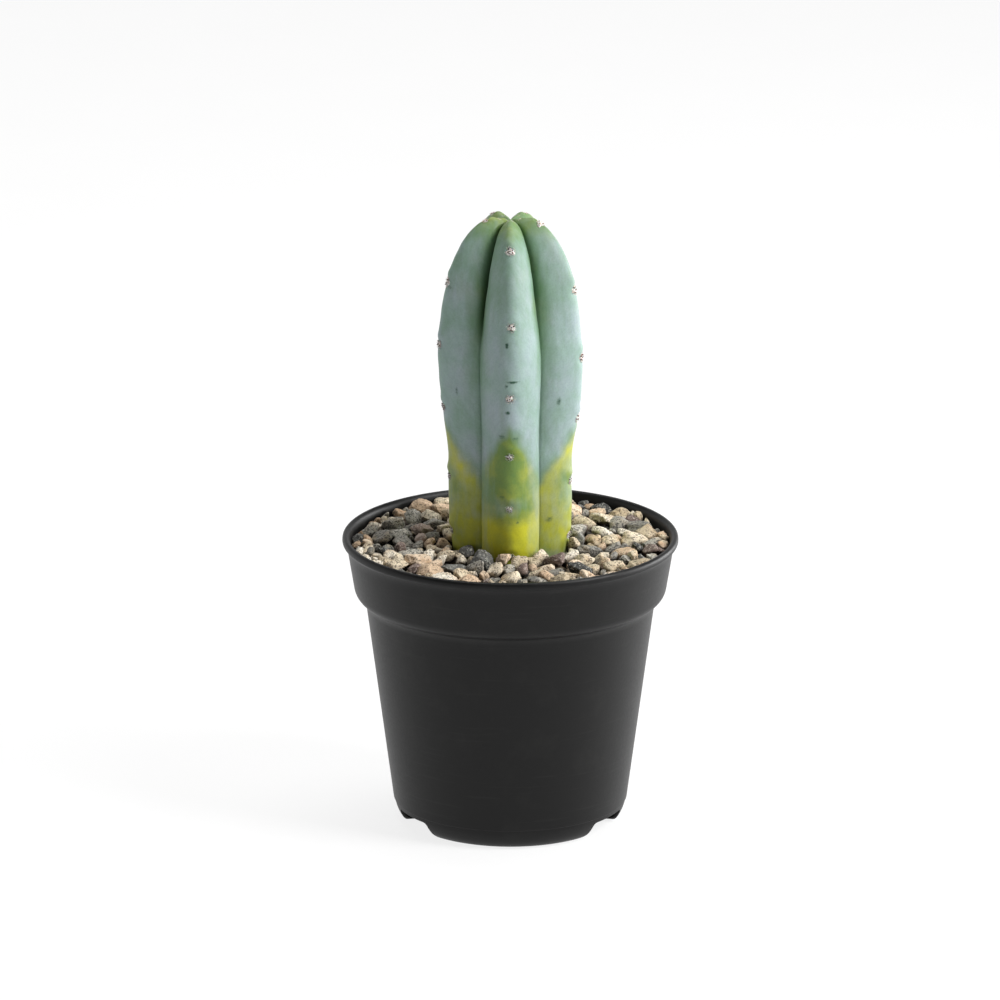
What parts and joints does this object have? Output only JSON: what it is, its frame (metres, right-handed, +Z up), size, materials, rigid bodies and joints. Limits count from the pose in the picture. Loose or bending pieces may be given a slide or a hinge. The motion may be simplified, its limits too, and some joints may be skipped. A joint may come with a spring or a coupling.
{
  "type": "potted columnar cactus",
  "caption": "Columnar blue cactus with five ribs, growing in a round black plastic nursery pot under a top dressing of mixed gravel.",
  "frame": {"origin": "middle of the ring of feet, on the surface that the pot stands on", "axes": "+Z up along the stem, -Y the front with one rib and one foot facing it, +X to the right seen from the front"},
  "size_m": [0.13, 0.13, 0.241],
  "materials": {
    "pot_plastic": "moulded satin black polypropylene",
    "potting_mix": "damp crumbly bark and peat",
    "gravel_mixed": "mixed broken pebbles, dry",
    "cactus_skin": "smooth waxy skin with a blue bloom",
    "areole_felt": "short pale felt",
    "spine": "hard dry spine, dark tipped",
    "dark_stone": "dark grey broken pebble, dry",
    "grey_stone": "grey speckled broken pebble, dry",
    "cream_stone": "cream broken pebble, dry",
    "tan_stone": "tan broken pebble, dry",
    "mauve_stone": "mauve-brown broken pebble, dry"
  },
  "bodies": {
    "root": {"pot": "pot_plastic", "potting_mix": "potting_mix", "gravel_bed": "gravel_mixed", "cactus_stem": "cactus_skin", "stone_dark_1": "dark_stone", "stone_dark_2": "dark_stone", "stone_dark_3": "dark_stone", "stone_dark_4": "dark_stone", "stone_dark_5": "dark_stone", "stone_dark_6": "dark_stone", "stone_dark_7": "dark_stone", "stone_dark_8": "dark_stone", "stone_grey_1": "grey_stone", "stone_grey_2": "grey_stone", "stone_grey_3": "grey_stone", "stone_grey_4": "grey_stone", "stone_grey_5": "grey_stone", "stone_grey_6": "grey_stone", "stone_grey_7": "grey_stone", "stone_grey_8": "grey_stone", "stone_grey_9": "grey_stone", "stone_grey_10": "grey_stone", "stone_cream_1": "cream_stone", "stone_cream_2": "cream_stone", "stone_cream_3": "cream_stone", "stone_cream_4": "cream_stone", "stone_cream_5": "cream_stone", "stone_cream_6": "cream_stone", "stone_cream_7": "cream_stone", "stone_cream_8": "cream_stone", "stone_cream_9": "cream_stone", "stone_cream_10": "cream_stone", "stone_cream_11": "cream_stone", "stone_cream_12": "cream_stone", "stone_cream_13": "cream_stone", "stone_cream_14": "cream_stone", "stone_tan_1": "tan_stone", "stone_tan_2": "tan_stone", "stone_tan_3": "tan_stone", "stone_tan_4": "tan_stone", "stone_tan_5": "tan_stone", "stone_tan_6": "tan_stone", "stone_tan_7": "tan_stone", "stone_tan_8": "tan_stone", "stone_tan_9": "tan_stone", "stone_tan_10": "tan_stone", "stone_tan_11": "tan_stone", "stone_tan_12": "tan_stone", "stone_tan_13": "tan_stone", "stone_mauve_1": "mauve_stone", "stone_mauve_2": "mauve_stone", "stone_mauve_3": "mauve_stone", "stone_mauve_4": "mauve_stone", "stone_mauve_5": "mauve_stone", "stone_mauve_6": "mauve_stone"}
  },
  "joints": []
}
